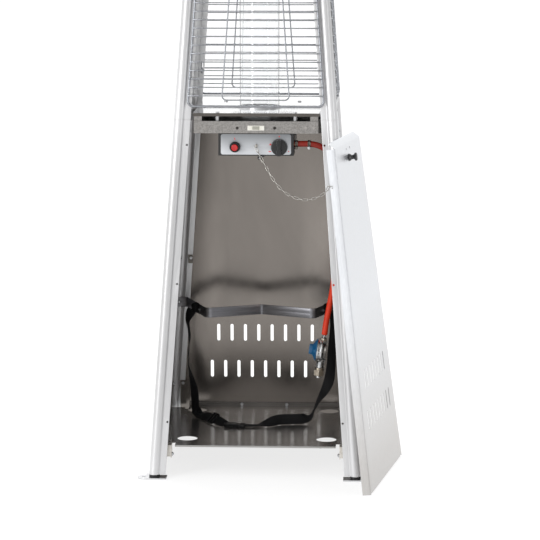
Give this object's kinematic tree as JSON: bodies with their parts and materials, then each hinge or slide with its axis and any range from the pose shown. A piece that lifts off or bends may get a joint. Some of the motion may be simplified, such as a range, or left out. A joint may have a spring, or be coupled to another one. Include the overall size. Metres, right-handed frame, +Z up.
{
  "type": "gas patio heater",
  "caption": "Tall pyramid patio heater: tapering tube legs, open cabinet for a gas cylinder with its door leaning alongside, glass flame tube behind wire guards, and a pyramid roof.",
  "frame": {"origin": "on the floor at the centre of the four anchor holes, midway between the legs", "axes": "+Z up; -Y is the open cabinet side with the controls; +X is the side on which the hose hangs and the door leans"},
  "size_m": [0.6237, 0.645, 2.27],
  "materials": {
    "leg_paint": "satin silver coating on steel tube",
    "galvanised": "galvanised sheet, faintly mottled",
    "black_plastic": "black moulded plastic",
    "copper_zinc": "yellow-passivated fasteners",
    "zinc": "bright zinc-plated fasteners",
    "panel_steel": "dull grey sheet, finely brushed",
    "dark_plate": "dark glossy plate",
    "door_steel": "brushed sheet with a soft sheen",
    "cream_plastic": "cream moulded plastic",
    "black_metal": "black satin paint",
    "fascia_paint": "pale blue-grey satin panel",
    "red_plastic": "glossy red plastic",
    "brass_stem": "dull turned brass",
    "ceramic": "white ceramic",
    "diecast": "satin die-cast metal",
    "heat_steel": "dark heat-stained steel",
    "glass_clear": "clear heat-proof glass",
    "wire_steel": "drawn steel wire",
    "band_steel": "gunmetal grey band",
    "webbing": "black woven webbing",
    "hose_rubber": "orange-red rubber hose",
    "blue_plastic": "dark blue ribbed moulding",
    "nut_brass": "tarnished grey-brown brass"
  },
  "bodies": {
    "frame": {"leg_lower_front_left": "leg_paint", "leg_lower_front_right": "leg_paint", "leg_lower_rear_left": "leg_paint", "leg_lower_rear_right": "leg_paint", "leg_upper_front_left": "leg_paint", "leg_upper_front_right": "leg_paint", "leg_upper_rear_left": "leg_paint", "leg_upper_rear_right": "leg_paint", "leg_joiners": "galvanised", "leg_plugs": "black_plastic", "anchor_plates": "galvanised", "foot_bolts": "copper_zinc", "panel_screws": "zinc", "side_panel_left": "panel_steel", "side_panel_right": "panel_steel", "back_panel": "panel_steel", "frame_brackets": "galvanised", "base_plate": "dark_plate", "cabinet_bolts": "zinc", "top_plate": "dark_plate", "support_tray": "galvanised", "tray_fasteners": "zinc", "catch_body": "cream_plastic", "catch_strips": "zinc", "control_box": "black_metal", "control_fascia": "fascia_paint", "ignition_collar": "black_plastic", "gas_valve": "brass_stem", "piezo_igniter": "ceramic", "tilt_switch": "black_plastic", "gas_pipe": "diecast", "pilot_burner": "heat_steel", "main_burner": "heat_steel", "tube_seat_ring": "heat_steel", "glass_tube": "glass_clear", "guard_front": "wire_steel", "guard_right": "wire_steel", "guard_rear": "wire_steel", "guard_left": "wire_steel", "top_frame": "galvanised", "flame_screen": "heat_steel", "roof_cap": "leg_paint", "cap_posts": "zinc", "retaining_band": "band_steel", "cylinder_strap": "webbing", "strap_buckle": "black_plastic", "gas_hose": "hose_rubber", "hose_clamps": "black_metal", "regulator_body": "diecast", "regulator_cap": "blue_plastic", "chain": "zinc", "chain_eyelet": "zinc"},
    "stem": {"valve_stem": "brass_stem"},
    "knob": {"control_knob": "black_plastic"},
    "button": {"ignition_button": "red_plastic"},
    "door": {"door_panel": "door_steel", "door_knob": "black_plastic", "door_strike_plate": "zinc", "door_fixings": "zinc"},
    "inlet_nut": {"regulator_nut": "nut_brass"}
  },
  "joints": [
    {"name": "knob_push", "type": "slide", "parent": "frame", "child": "stem", "axis": [0, 1, 0], "range_m": [0, 0.004], "stiffness_N_per_m": 900},
    {"name": "knob_turn", "type": "hinge", "parent": "stem", "child": "knob", "pos_m": [0.0546, -0.185, 0.778], "axis": [0, -1, 0], "range_deg": [0, 210]},
    {"name": "ignite_push", "type": "slide", "parent": "frame", "child": "button", "axis": [0, 1, 0], "range_m": [0, 0.006], "stiffness_N_per_m": 900},
    {"name": "door_tip", "type": "hinge", "parent": "frame", "child": "door", "pos_m": [0.25505, -0.38549, 0.0001], "axis": [0.1774, 0.9841, 0], "range_deg": [0, 4]},
    {"name": "nut_turn", "type": "hinge", "parent": "frame", "child": "inlet_nut", "pos_m": [0.14553, -0.06, 0.22091], "axis": [0.1305, 0, 0.9914], "continuous": true}
  ]
}
